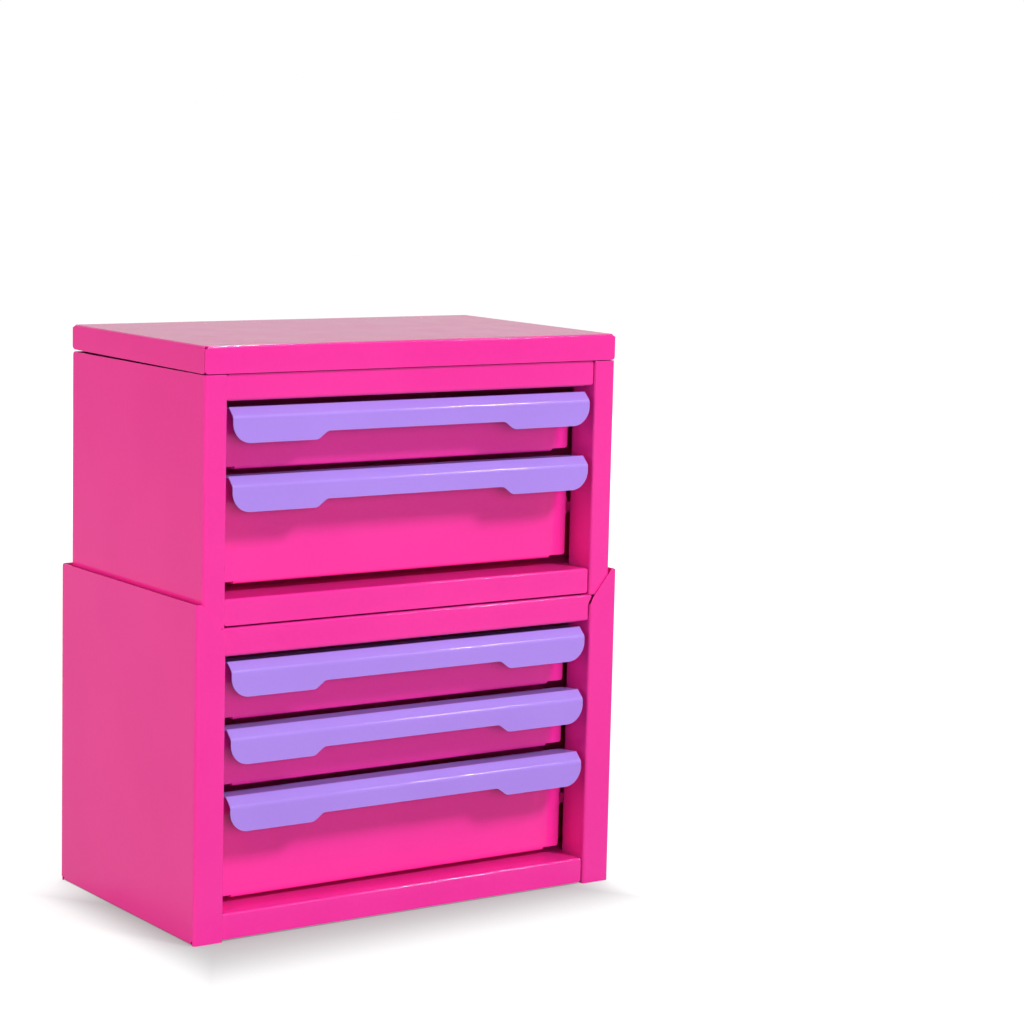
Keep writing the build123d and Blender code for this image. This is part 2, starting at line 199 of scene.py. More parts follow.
@dataclass(frozen=True)
class CoatSkin:
    """Skin of a powder coat: mottle, flow marks and orange peel, in cycles a metre."""

    cloud_scale: float = 11.0
    cloud_detail: float = 2.0
    cloud_range: Flat = (0.35, 0.68)
    cloud_share: float = 0.75
    grain_scale: float = 420.0
    grain_detail: float = 2.0
    grain_range: Flat = (0.3, 0.7)
    grain_share: float = 0.25
    smear_scale: float = 34.0
    smear_detail: float = 3.0
    smear_range: Flat = (0.3, 0.7)
    peel_scale: float = 330.0
    peel_detail: float = 1.0
    fine_scale: float = 1300.0
    fine_detail: float = 0.0
    fine_share: float = 0.3

    def group(self) -> Tree:
        """Builds the skin's node group.

        Returns:
            The group.
        """
        tree = bpy.data.node_groups.new("coat_skin", "ShaderNodeTree")
        socket(tree, "NodeSocketColor", "Colour", "INPUT")
        socket(tree, "NodeSocketColor", "Deep Colour", "INPUT")
        socket(tree, "NodeSocketFloat", "Gloss Roughness", "INPUT")
        socket(tree, "NodeSocketFloat", "Matt Roughness", "INPUT")
        socket(tree, "NodeSocketColor", "Colour", "OUTPUT")
        socket(tree, "NodeSocketFloat", "Roughness", "OUTPUT")
        socket(tree, "NodeSocketFloat", "Peel Height", "OUTPUT")
        given = add_node(tree, "NodeGroupInput").outputs
        place = add_node(tree, "ShaderNodeTexCoord").outputs["Object"]
        cloud = spread(tree, noise(tree, place, self.cloud_scale, self.cloud_detail), *self.cloud_range)
        grain = spread(tree, noise(tree, place, self.grain_scale, self.grain_detail), *self.grain_range)
        clouded = maths(tree, "MULTIPLY", cloud, self.cloud_share)
        mottle = maths(tree, "ADD", clouded, maths(tree, "MULTIPLY", grain, self.grain_share))
        smear = spread(tree, noise(tree, place, self.smear_scale, self.smear_detail), *self.smear_range)
        rub = add_node(tree, "ShaderNodeMix", {
            "Factor": smear, 2: given["Gloss Roughness"], 3: given["Matt Roughness"],
        })
        coarse = noise(tree, place, self.peel_scale, self.peel_detail)
        fine = noise(tree, place, self.fine_scale, self.fine_detail)
        fine = maths(tree, "MULTIPLY", fine, self.fine_share)
        add_node(tree, "NodeGroupOutput", {
            "Colour": blend_colours(tree, mottle, given["Colour"], given["Deep Colour"]),
            "Roughness": rub.outputs[0],
            "Peel Height": maths(tree, "ADD", coarse, fine),
        })
        return tree


@dataclass(frozen=True)
class PlatedSkin:
    """Skin of zinc plate: cloudy tone and fine drawing lines, in cycles a metre."""

    cloud_scale: float = 260.0
    cloud_detail: float = 2.0
    cloud_range: Flat = (0.35, 0.65)
    roughness: Flat = (0.26, 0.42)
    line_scale: float = 2400.0
    line_detail: float = 1.0
    line_stretch: Point = (0.06, 1.0, 1.0)

    def group(self) -> Tree:
        """Builds the skin's node group.

        Returns:
            The group.
        """
        tree = bpy.data.node_groups.new("plated_skin", "ShaderNodeTree")
        socket(tree, "NodeSocketColor", "Colour", "INPUT")
        socket(tree, "NodeSocketColor", "Dull Colour", "INPUT")
        socket(tree, "NodeSocketColor", "Colour", "OUTPUT")
        socket(tree, "NodeSocketFloat", "Roughness", "OUTPUT")
        socket(tree, "NodeSocketFloat", "Line Height", "OUTPUT")
        given = add_node(tree, "NodeGroupInput").outputs
        place = add_node(tree, "ShaderNodeTexCoord").outputs["Object"]
        cloud = spread(tree, noise(tree, place, self.cloud_scale, self.cloud_detail), *self.cloud_range)
        stretch = add_node(tree, "ShaderNodeMapping", {"Vector": place, "Scale": self.line_stretch})
        add_node(tree, "NodeGroupOutput", {
            "Colour": blend_colours(tree, cloud, given["Colour"], given["Dull Colour"]),
            "Roughness": spread(tree, cloud, 0.0, 1.0, *self.roughness),
            "Line Height": noise(tree, stretch.outputs["Vector"], self.line_scale, self.line_detail),
        })
        return tree


def skinned(name: str, skin: Tree, values: dict, height: str, strength: float, depth: float) -> Material:
    """Builds a material whose shader reads a skin group.

    Args:
        name: Name of the material.
        skin: The group.
        values: Values of the group's inputs by name.
        height: Output of the group that raises the surface.
        strength: Strength of that relief.
        depth: Depth of that relief in millimetres.

    Returns:
        The material.
    """
    made = bpy.data.materials.new(name)
    made.use_nodes = True
    tree = made.node_tree
    shader = tree.nodes["Principled BSDF"].inputs
    group = tree.nodes.new("ShaderNodeGroup")
    group.node_tree = skin
    for key, value in values.items():
        group.inputs[key].default_value = value
    bump = add_node(tree, "ShaderNodeBump", {
        "Strength": strength, "Distance": depth * MM, "Height": group.outputs[height],
    })
    tree.links.new(group.outputs["Colour"], shader["Base Color"])
    tree.links.new(group.outputs["Roughness"], shader["Roughness"])
    tree.links.new(bump.outputs["Normal"], shader["Normal"])
    return made


@dataclass(frozen=True)
class PowderCoat:
    """Semi-gloss powder coat on sheet steel."""

    name: str
    colour: Colour
    deep_colour: Colour
    gloss_roughness: float = 0.1
    matt_roughness: float = 0.14
    peel_depth: float = 0.008
    peel_strength: float = 0.3

    def material(self, skin: Tree) -> Material:
        """Builds the coat's material.

        Args:
            skin: The shared skin group.

        Returns:
            The material.
        """
        values = {
            "Colour": (*self.colour, 1.0),
            "Deep Colour": (*self.deep_colour, 1.0),
            "Gloss Roughness": self.gloss_roughness,
            "Matt Roughness": self.matt_roughness,
        }
        return skinned(self.name, skin, values, "Peel Height", self.peel_strength, self.peel_depth)


@dataclass(frozen=True)
class ZincPlate:
    """Bright zinc plate on small steel fittings."""

    name: str
    colour: Colour
    dull_colour: Colour
    line_depth: float = 0.008
    line_strength: float = 0.3

    def material(self, skin: Tree) -> Material:
        """Builds the plate's material.

        Args:
            skin: The plated skin group.

        Returns:
            The material.
        """
        values = {"Colour": (*self.colour, 1.0), "Dull Colour": (*self.dull_colour, 1.0)}
        made = skinned(self.name, skin, values, "Line Height", self.line_strength, self.line_depth)
        made.node_tree.nodes["Principled BSDF"].inputs["Metallic"].default_value = 1.0
        return made


class Paintshop:
    """All finishes of the unit, face and edge; the paler edge coats are partly thin coat on edges and
    partly a painted highlight along them.
    """

    pink = PowderCoat("pink_powder_coat", (0.92, 0.03, 0.35), (0.885, 0.025, 0.335))
    # Paler edge coat: partly thin coat on edges, partly a painted highlight along the rounded edges.
    pink_edge_coat_and_highlight = PowderCoat("pink_powder_coat_edge", (0.97, 0.06, 0.41), (0.95, 0.04, 0.38))
    lavender = PowderCoat("lavender_powder_coat", (0.42, 0.245, 0.82), (0.40, 0.23, 0.79))
    # Paler edge coat: partly thin coat on edges, partly a painted highlight along the rounded edges.
    lavender_edge_coat_and_highlight = PowderCoat("lavender_powder_coat_edge", (0.60, 0.45, 0.95), (0.55, 0.40, 0.92))
    zinc = ZincPlate("zinc_plate", (0.72, 0.72, 0.74), (0.63, 0.63, 0.65))

    def __init__(self) -> None:
        """Builds the shared groups and every material."""
        coat, plated = CoatSkin().group(), PlatedSkin().group()
        zinc = self.zinc.material(plated)
        self._sets: dict[Finish, tuple[Material, Material]] = {
            Finish.PINK: (self.pink.material(coat), self.pink_edge_coat_and_highlight.material(coat)),
            Finish.LAVENDER: (self.lavender.material(coat), self.lavender_edge_coat_and_highlight.material(coat)),
            Finish.ZINC: (zinc, zinc),
        }

    def face(self, finish: Finish) -> Material:
        """Material of a piece's faces."""
        return self._sets[finish][0]

    def dress(self, piece: Piece, finish: Finish) -> Piece:
        """Gives a made piece its face material and its paler edge material, which is partly a painted
        highlight.

        Args:
            piece: The piece.
            finish: Its finish.

        Returns:
            The same piece.
        """
        piece.data.materials.clear()
        for material in self._sets[finish]:
            piece.data.materials.append(material)
        return piece

    def dress_node(self, node: str, finish: Finish) -> None:
        """Puts a finish in the slots of a node that is shown as it is.

        Args:
            node: Name of the node.
            finish: Its finish.
        """
        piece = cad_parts[node]
        if not piece.material_slots:
            piece.data.materials.append(self.face(finish))
        for place in piece.material_slots:
            place.material = self.face(finish)
        log.info("%s keeps its shape", node)


# ---------------------------------------------------------------- sheet metal


@dataclass(frozen=True)
class Steel:
    """Sheet and fold sizes shared by the folded pieces, in millimetres."""

    sheet: float = 0.8
    bend: float = 1.6
    lap: float = 10.0
    seam: float = 0.4
    relief: float = 2.0
    easing: float = 0.14
    easing_steps: int = 2
    easing_angle: float = 40.0
    bend_steps: int = 7


STEEL = Steel()


def folded(points: Sequence[tuple[float, ...]], bend: float = STEEL.bend) -> list[Flat]:
    """Rounds the corners of a folded sheet's skin, with the metal to the left of the path.

    Args:
        points: Corners of the skin, ends included; a third value is a bend of its own.
        bend: Outer radius of the other folds.

    Returns:
        The skin with its bends as short chords.
    """
    path = [Vector(point[:2]) for point in points]
    bends = [point[2] if len(point) > 2 else bend for point in points[1:-1]]
    made = [path[0]]
    for before, here, after, own in zip(path, path[1:], path[2:], bends):
        back = (before - here).normalized()
        ahead = (after - here).normalized()
        turn = back.y * ahead.x - back.x * ahead.y
        radius = own if turn > 0 else own - STEEL.sheet
        half = back.angle(ahead) / 2
        reach = radius / math.tan(half)
        middle = here + (back + ahead).normalized() * (radius / math.sin(half))
        start = here + back * reach - middle
        sweep = math.copysign(math.pi - 2 * half, turn)
        steps = max(2, round(STEEL.bend_steps * abs(sweep) / (math.pi / 2)))
        for step in range(steps + 1):
            angle = sweep * step / steps
            cosine, sine = math.cos(angle), math.sin(angle)
            turned = (start.x * cosine - start.y * sine, start.x * sine + start.y * cosine)
            made.append(middle + Vector(turned))
    made.append(path[-1])
    return [(point.x, point.y) for point in made]


def with_stops(path: Sequence[Flat], axis: int, stops: Sequence[float]) -> list[Flat]:
    """Adds points to a path's straight runs where one coordinate has given values.

    Args:
        path: The path.
        axis: Coordinate that the stops are measured along.
        stops: Values of it.

    Returns:
        The path with the added points.
    """
    made = [path[0]]
    for start, end in zip(path, path[1:]):
        low, high = sorted((start[axis], end[axis]))
        inside = [stop for stop in stops if low + SLACK < stop < high - SLACK]
        for stop in sorted(inside, reverse=end[axis] < start[axis]):
            share = (stop - start[axis]) / (end[axis] - start[axis])
            made.append(tuple(one + share * (other - one) for one, other in zip(start, end)))
        made.append(end)
    return made


def eased(reach: float, radius: float, room: float) -> float:
    """Half width of an outline near a rounded corner.

    Args:
        reach: Half width away from the corner.
        radius: Radius of the corner.
        room: Distance from the edge that the corner ends in.

    Returns:
        The half width there.
    """
    if room >= radius:
        return reach
    return reach - radius + math.sqrt(max(0.0, radius**2 - (radius - room) ** 2))


def rounded_loop(half: float, low: float, high: float, radius: float, steps: int) -> list[Flat]:
    """Rectangle with rounded corners about the middle of the unit.

    Args:
        half: Half width.
        low: Lower or front end.
        high: Upper or rear end.
        radius: Radius of the corners.
        steps: Chords of each corner.

    Returns:
        Its points in order.
    """
    inner, near, far = half - radius, low + radius, high - radius
    made = []
    for quarter, (x, y) in enumerate(((inner, far), (-inner, far), (-inner, near), (inner, near))):
        for step in range(steps + 1):
            angle = math.pi / 2 * (quarter + step / steps)
            made.append((x + radius * math.cos(angle), y + radius * math.sin(angle)))
    return made


class Sheet:
    """One folded sheet, gathered from runs of points that share their seams."""

    def __init__(self, name: str, hand: Hand = Hand.LEFT) -> None:
        """Starts an empty sheet.

        Args:
            name: Name of the piece.
            hand: RIGHT mirrors every run about the middle of the unit.
        """
        self.name = name
        self.flip = hand.value
        self.mesh = bmesh.new()

    def run(self, rows: Sequence[Sequence[Point]], outward: Point) -> None:
        """Adds a run of faces between rows of points.

        Args:
            rows: Rows of points in millimetres, all equally long.
            outward: Way that the first real face looks, which is the sheet's outer skin.
        """
        placed = [
            [self.mesh.verts.new((self.flip * x * MM, y * MM, z * MM)) for x, y, z in row] for row in rows
        ]
        faces = []
        for near, far in zip(placed, placed[1:]):
            for index in range(len(near) - 1):
                corners = (near[index], near[index + 1], far[index + 1], far[index])
                faces.append(self.mesh.faces.new(corners))
        self.mesh.normal_update()
        first = next(face for face in faces if face.calc_area() > SLIVER_AREA)
        way = Vector((self.flip * outward[0], outward[1], outward[2]))
        if first.normal.dot(way) < 0:
            bmesh.ops.reverse_faces(self.mesh, faces=faces)

    def finish(self) -> Piece:
        """Welds the seams and gives the sheet its thickness and eased edges.

        Returns:
            The piece.
        """
        bmesh.ops.remove_doubles(self.mesh, verts=self.mesh.verts, dist=MERGE_REACH)
        bmesh.ops.dissolve_degenerate(self.mesh, edges=self.mesh.edges, dist=MERGE_REACH)
        data = bpy.data.meshes.new(self.name)
        self.mesh.to_mesh(data)
        self.mesh.free()
        data.shade_smooth()
        piece = bpy.data.objects.new(self.name, data)
        bpy.context.scene.collection.objects.link(piece)
        wall = piece.modifiers.new("thickness", "SOLIDIFY")
        wall.thickness = STEEL.sheet * MM
        wall.offset = -1.0
        wall.use_even_offset = True
        wall.use_quality_normals = True
        ease_edges(piece)
        return piece


def ease_edges(piece: Piece) -> None:
    """Rounds a piece's sharp edges as paint does, and evens its shading.

    Args:
        piece: The piece.
    """
    ease = piece.modifiers.new("eased_edges", "BEVEL")
    ease.width = STEEL.easing * MM
    ease.segments = STEEL.easing_steps
    ease.limit_method = "ANGLE"
    ease.angle_limit = math.radians(STEEL.easing_angle)
    # The rounded edges take the paler edge coat: partly thin coat, partly a painted highlight.
    ease.material = 1
    even = piece.modifiers.new("even_shading", "WEIGHTED_NORMAL")
    even.keep_sharp = True


def hand_over(piece: Piece, body: str, node: str) -> None:
    """Joins a finished piece to its body and logs it.

    Args:
        piece: The piece.
        body: CAD body that it rides on.
        node: CAD node that it stands for.
    """
    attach(piece, body)
    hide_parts(node)
    log.info("%s rides on %s", piece.name, body)


# ---------------------------------------------------------------- chests


@dataclass(frozen=True)
class ChestPlan:
    """Outside planes of one chest, in millimetres."""

    name: str
    half: float
    front: float
    back: float
    base: float
    top: float
    opening_half: float = 121.6
    return_depth: float = 21.5
    rail_shift: float = -0.28
    rail_set: float = 1.5

    @property
    def body(self) -> str:
        """CAD body of the chest."""
        return f"{self.name}_chest"

    @property
    def rail_half(self) -> float:
        """Half length of the rails between the posts."""
        return self.opening_half - STEEL.seam

    @property
    def rail_front(self) -> float:
        """Front face of the rails, a little behind the posts."""
        return self.front + self.rail_set

    @property
    def rear(self) -> float:
        """Inner face of the back panel's lap."""
        return self.back - 2 * STEEL.sheet

    @property
    def wide_front(self) -> float:
        """Front edge of the cross panels' wide part, behind the posts."""
        return self.front + STEEL.sheet + self.return_depth + STEEL.seam


@dataclass
class Ear:
    """Slanting cut of the lower posts' tops, in front of the upper chest."""

    flat: float = 3.4
    foot: float = 2.6
    low: float = 172.8
    root: float = 167.8

    def level(self, plan: ChestPlan, across: float, depth: float) -> float:
        """Height of the post's top edge.

        Args:
            plan: The chest.
            across: Place across the unit, on the left side.
            depth: Place from front to back.

        Returns:
            The height in millimetres.
        """
        if depth > plan.front + STEEL.bend and across < -plan.half + STEEL.bend:
            return plan.top
        start, end = -plan.half + self.flat, -plan.opening_half
        knee = end - self.foot
        if across <= start:
            return plan.top
        if across <= knee:
            return plan.top + (self.low - plan.top) * (across - start) / (knee - start)
        return self.low + (self.root - self.low) * min(1.0, (across - knee) / (end - knee))


@dataclass
class SidePanel:
    """Side wall with its rear turned edge, front post, post return and foot."""

    plan: ChestPlan
    hand: Hand
    ear: Optional[Ear] = None
    foot_width: float = 12.0
    foot_rise: float = 2.4
    foot_relief: float = 1.4

    def build(self) -> Piece:
        """Builds the panel's mesh.

        Returns:
            The piece.
        """
        plan = self.plan
        rear = plan.back - STEEL.sheet
        foot_front, foot_rear = plan.front + STEEL.relief, rear - STEEL.relief
        strip_front, strip_rear = foot_front + self.foot_relief, foot_rear - self.foot_relief
        path = folded([
            (-plan.half + STEEL.lap, rear),
            (-plan.half, rear),
            (-plan.half, plan.front),
            (-plan.opening_half, plan.front),
            (-plan.opening_half, plan.front + plan.return_depth),
        ])
        path = with_stops(path, 1, (foot_front, strip_front, strip_rear, foot_rear))
        if self.ear:
            path = with_stops(path, 0, (-plan.half + self.ear.flat, -plan.opening_half - self.ear.foot))
        sheet = Sheet(f"{plan.name}_{self.hand.name.lower()}_side_sheet", self.hand)
        shelf = plan.base + self.foot_rise
        tops = [(x, y, self.ear.level(plan, x, y) if self.ear else plan.top) for x, y in path]
        outward, aside = (0.0, 1.0, 0.0), (-1.0, 0.0, 0.0)
        sheet.run([[(x, y, shelf) for x, y in path], tops], outward)
        behind = [(x, y) for x, y in path if y >= foot_rear - SLACK]
        sheet.run([[(x, y, z) for x, y in behind] for z in (plan.base, shelf)], outward)
        wall_end = max(
            index for index, (x, y) in enumerate(path)
            if y >= foot_front - SLACK and x < -plan.half + SLACK
        )
        before = path[wall_end:]
        sheet.run([[(x, y, z) for x, y in before] for z in (plan.base, shelf)], aside)
        inner = -plan.half + self.foot_width
        foot = folded([(-plan.half, shelf), (-plan.half, plan.base), (inner, plan.base)])
        sheet.run([[(x, y, z) for y in (strip_front, strip_rear)] for x, z in foot], aside)
        return sheet.finish()


@dataclass
class CrossPanel:
    """Floor, deck or till: a front rail between the posts and a wide flat part behind them."""

    plan: ChestPlan
    name: str
    node: str
    rail: Rail
    low: float
    high: float
    flange: float = 10.0
    lip: float = 8.0
    corner: float = 1.5
    ear: Optional[Ear] = None

    def reach(self, level: float) -> float:
        """Half length of the rail at a height.

        Args:
            level: The height.

        Returns:
            The half length.
        """
        half = self.plan.rail_half
        if self.ear and level > self.ear.root:
            share = min(1.0, (level - self.ear.root) / (self.ear.low - self.ear.root))
            return half + self.ear.foot * share
        half = eased(half, self.corner, level - self.low)
        return half if self.ear else eased(half, self.corner, self.high - level)

    def rail_path(self) -> list[Flat]:
        """Skin of the rail and of the flat part between the posts.

        Returns:
            Points in depth and height.
        """
        front, wide = self.plan.rail_front, self.plan.wide_front
        if self.rail is Rail.ABOVE:
            corners = [(front, self.high), (front, self.low), (wide, self.low)]
        else:
            corners = [(wide, self.high), (front, self.high), (front, self.low)]
        if self.rail is Rail.LIPPED:
            corners.append((front + self.lip, self.low))
        stops = [self.low + self.corner * share for share in CORNER_SHARES]
        stops += [self.high - self.corner * share for share in CORNER_SHARES]
        if self.ear:
            stops += [self.ear.root, self.ear.low]
        return with_stops(folded(corners), 1, stops)

    def build(self) -> Piece:
        """Builds the panel's mesh.

        Returns:
            The piece.
        """
        plan, sheet = self.plan, Sheet(self.name)
        upturned = self.rail is Rail.ABOVE
        base = self.low if upturned else self.high
        rows, seam = [], plan.rail_half
        for depth, level in self.rail_path():
            half = self.reach(level)
            flat = abs(level - base) < SLACK
            if flat and depth > plan.rail_front + 2 * STEEL.bend:
                half = seam = plan.rail_half + (self.ear.foot if self.ear else 0.0)
            shift = 0.0 if half == seam and flat else plan.rail_shift
            rows.append([(x, depth, level) for x in (shift - half, shift + half)])
        sheet.run(rows, (0.0, -1.0, 0.0) if upturned else (0.0, 0.0, 1.0))
        side = -1.0 if upturned else 1.0
        start, edge = side * (plan.half - STEEL.sheet), base - side * self.flange
        corners = [(start, edge), (start, base), (-start, base), (-start, edge)]
        wide = with_stops(folded(corners), 0, (-seam, seam))
        back = plan.rear - (STEEL.bend - STEEL.sheet)
        sheet.run([[(x, y, z) for y in (plan.wide_front, back)] for x, z in wide], (side, 0.0, 0.0))
        return sheet.finish()


@dataclass
class BackPanel:
    """Flat back with the shallow marks of its spot welds, each ring a share of radius and of depth."""

    plan: ChestPlan
    edge_gap: float = 0.6
    corner: float = 1.5
    corner_steps: int = 5
    weld_inset: float = 6.0
    weld_pitch: float = 34.0
    weld_radius: float = 2.6
    weld_depth: float = 0.16
    weld_sides: int = 20
    weld_rings: tuple[Flat, ...] = ((0.84, 0.75), (0.6, 1.0))

    def weld_places(self, low: float, high: float) -> list[Flat]:
        """Places of the weld marks down both edges.

        Args:
            low: Lower end of the panel.
            high: Upper end of the panel.

        Returns:
            Points across and up.
        """
        across = self.plan.half - self.edge_gap - self.weld_inset
        count = int((high - low - 2 * self.weld_inset) // self.weld_pitch) + 1
        start = (low + high - (count - 1) * self.weld_pitch) / 2
        levels = [start + index * self.weld_pitch for index in range(count)]
        return [(side * across, level) for side in (-1, 1) for level in levels]

    def circle(self, spot: Flat, radius: float) -> list[Flat]:
        """Circle round the middle of a weld mark.

        Args:
            spot: The middle.
            radius: Radius of the circle.

        Returns:
            Points across and up, in order.
        """
        turns = [2 * math.pi * index / self.weld_sides for index in range(self.weld_sides)]
        return [(spot[0] + radius * math.cos(turn), spot[1] + radius * math.sin(turn)) for turn in turns]

    def build(self) -> Piece:
        """Builds the panel's mesh.

        Returns:
            The piece.
        """
        plan = self.plan
        low, high = plan.base + STEEL.sheet, plan.top
        sheet = Sheet(f"{plan.name}_back_sheet")
        mesh, half = sheet.mesh, plan.half - self.edge_gap

        def points(places: Sequence[Flat], depth: float = 0.0) -> list[bmesh.types.BMVert]:
            """New points at a depth below the panel's face."""
            return [mesh.verts.new((x * MM, (plan.back - depth) * MM, z * MM)) for x, z in places]

        def loop(places: Sequence[Flat]) -> list[bmesh.types.BMVert]:
            """Joins new points of the face to a closed loop of edges.

            Args:
                places: Points across and up, in order.

            Returns:
                The loop's points.
            """
            verts = points(places)
            for one, other in zip(verts, verts[1:] + verts[:1]):
                mesh.edges.new((one, other))
            return verts

        loop(rounded_loop(half, low, high, self.corner, self.corner_steps))
        welds = self.weld_places(low, high)
        rims = [loop(self.circle(spot, self.weld_radius)) for spot in welds]
        bmesh.ops.triangle_fill(mesh, edges=mesh.edges[:], use_beauty=True, normal=(0.0, 1.0, 0.0))
        for rim in rims:
            inside = set(rim)
            doomed = [face for face in mesh.faces if all(vert in inside for vert in face.verts)]
            bmesh.ops.delete(mesh, geom=doomed, context="FACES_ONLY")
        for previous, spot in zip(rims, welds):
            for share, sink in self.weld_rings:
                ring = points(self.circle(spot, self.weld_radius * share), self.weld_depth * sink)
                for index in range(self.weld_sides):
                    after = (index + 1) % self.weld_sides
                    mesh.faces.new((previous[index], previous[after], ring[after], ring[index]))
                previous = ring
            mesh.faces.new(previous)
        bmesh.ops.recalc_face_normals(mesh, faces=mesh.faces[:])
        widest = max(mesh.faces, key=lambda face: face.calc_area())
        if widest.normal.y < 0:
            bmesh.ops.reverse_faces(mesh, faces=mesh.faces[:])
        return sheet.finish()


@dataclass
class Lid:
    """Folded lid: four turned-down flanges, with a relief hole and a slit at each corner."""

    plan: ChestPlan
    low: float = 311.9
    high: float = 326.5
    corner: float = 1.8
    slit: float = 0.3
    edge_set: float = 0.2
    relief: float = 1.2
    tilt: float = 0.45

    def hole(self, share: float, end: float) -> float:
        """Distance of a fold's end from the lid's corner, which leaves the relief hole.

        Args:
            share: Share of the fold that is passed, from the top down.
            end: Distance at the end of the fold.

        Returns:
            The distance.
        """
        return STEEL.bend + (end - STEEL.bend) * share + self.relief * math.sin(math.pi * share)

    def flange_levels(self, low: float) -> list[float]:
        """Heights of a flange's lower rows, fine round its corners.

        Args:
            low: Lower end of the flange.

        Returns:
            The heights from the top down.
        """
        return [low + self.corner * share for share in (*reversed(CORNER_SHARES), 0.0)]

    def fold(self) -> list[Point]:
        """Rows of one fold.

        Returns:
            Share passed, distance inside the flange's face, and height.
        """
        made, steps = [], STEEL.bend_steps
        for step in range(steps + 1):
            angle = math.pi / 2 * step / steps
            inside = STEEL.bend * (1 - math.sin(angle))
            made.append((step / steps, inside, self.high - STEEL.bend * (1 - math.cos(angle))))
        return made

    def build(self) -> Piece:
        """Builds the lid's mesh.

        Returns:
            The piece.
        """
        plan, sheet = self.plan, Sheet("lid_sheet")
        half, fold = plan.half, self.high - STEEL.bend
        flat_half = half - STEEL.bend
        near, far = plan.front + STEEL.bend, plan.back - STEEL.bend
        top = [[(x, y, self.high) for x in (-flat_half, flat_half)] for y in (near, far)]
        sheet.run(top, (0.0, 0.0, 1.0))
        for depth, way in ((plan.front, -1.0), (plan.back, 1.0)):
            low = self.low + way * self.tilt
            rows = []
            for share, inside, level in self.fold():
                reach = half - self.hole(share, self.edge_set)
                rows.append([(x, depth - way * inside, level) for x in (-reach, reach)])
            for level in self.flange_levels(low):
                reach = eased(half - self.edge_set, self.corner, level - low)
                rows.append([(x, depth, level) for x in (-reach, reach)])
            sheet.run(rows, (0.0, way, 1.0))
        middle, room = (plan.front + plan.back) / 2, (plan.back - plan.front) / 2
        butt = STEEL.sheet + self.slit
        for way in (-1.0, 1.0):
            rows = []
            for share, inside, level in self.fold():
                reach = room - self.hole(share, butt)
                ends = (middle - reach, middle + reach)
                rows.append([(way * (half - inside), y, level) for y in ends])
            for level in self.flange_levels(self.low):
                reach = eased(room - butt, self.corner, level - self.low)
                lean = self.tilt / room * (fold - level) / (fold - self.low)
                rows.append([(way * half, middle + y, level + lean * y) for y in (-reach, reach)])
            sheet.run(rows, (way, 0.0, 1.0))
        return sheet.finish()


@dataclass
class HingeLeaf:
    """Leaves of the two lid hinges on one body, with rolled knuckles."""

    name: str
    plan: ChestPlan
    way: int
    knuckles: tuple[int, ...]
    centres: tuple[float, ...] = (-80.0, 80.0)
    length: float = 37.0
    height: float = 9.0
    clear: float = 2.2
    pin_level: float = 311.45
    pin_set: float = 1.8
    roll_radius: float = 1.5
    roll_turn: float = 255.0
    roll_steps: int = 16
    gap: float = 0.3
    knuckle_count: int = 3

    def build(self) -> Piece:
        """Builds the leaves' mesh.

        Returns:
            The piece.
        """
        sheet, face = Sheet(self.name), self.plan.back
        near = self.pin_level + self.way * self.clear
        far = near + self.way * self.height
        width = (self.length - (self.knuckle_count - 1) * self.gap) / self.knuckle_count
        roll = [(face, near)]
        for step in range(self.roll_steps + 1):
            angle = math.pi + self.way * math.radians(self.roll_turn) * step / self.roll_steps
            roll.append((
                face + self.pin_set + self.roll_radius * math.cos(angle),
                self.pin_level + self.roll_radius * math.sin(angle),
            ))
        inward = (0.0, -1.0, 0.0)
        for centre in self.centres:
            start = centre - self.length / 2
            spans = [(start, start + self.length)]
            for knuckle in self.knuckles:
                left = start + knuckle * (width + self.gap)
                spans.append((left, left + width))
            stations = sorted({round(end, 6) for span in spans for end in span})
            sheet.run([[(x, face, z) for x in stations] for z in (far, near)], inward)
            for span in spans[1:]:
                sheet.run([[(x, y, z) for x in span] for y, z in roll], inward)
        return sheet.finish()


# ---------------------------------------------------------------- drawers


@dataclass(frozen=True)
class DrawerPlan:
    """Place and height of one drawer, in millimetres."""

    number: int
    face: float
    low: float
    top: float
    front_half: float = 118.0

    @property
    def body(self) -> str:
        """CAD body of the drawer."""
        return f"drawer_{self.number}"


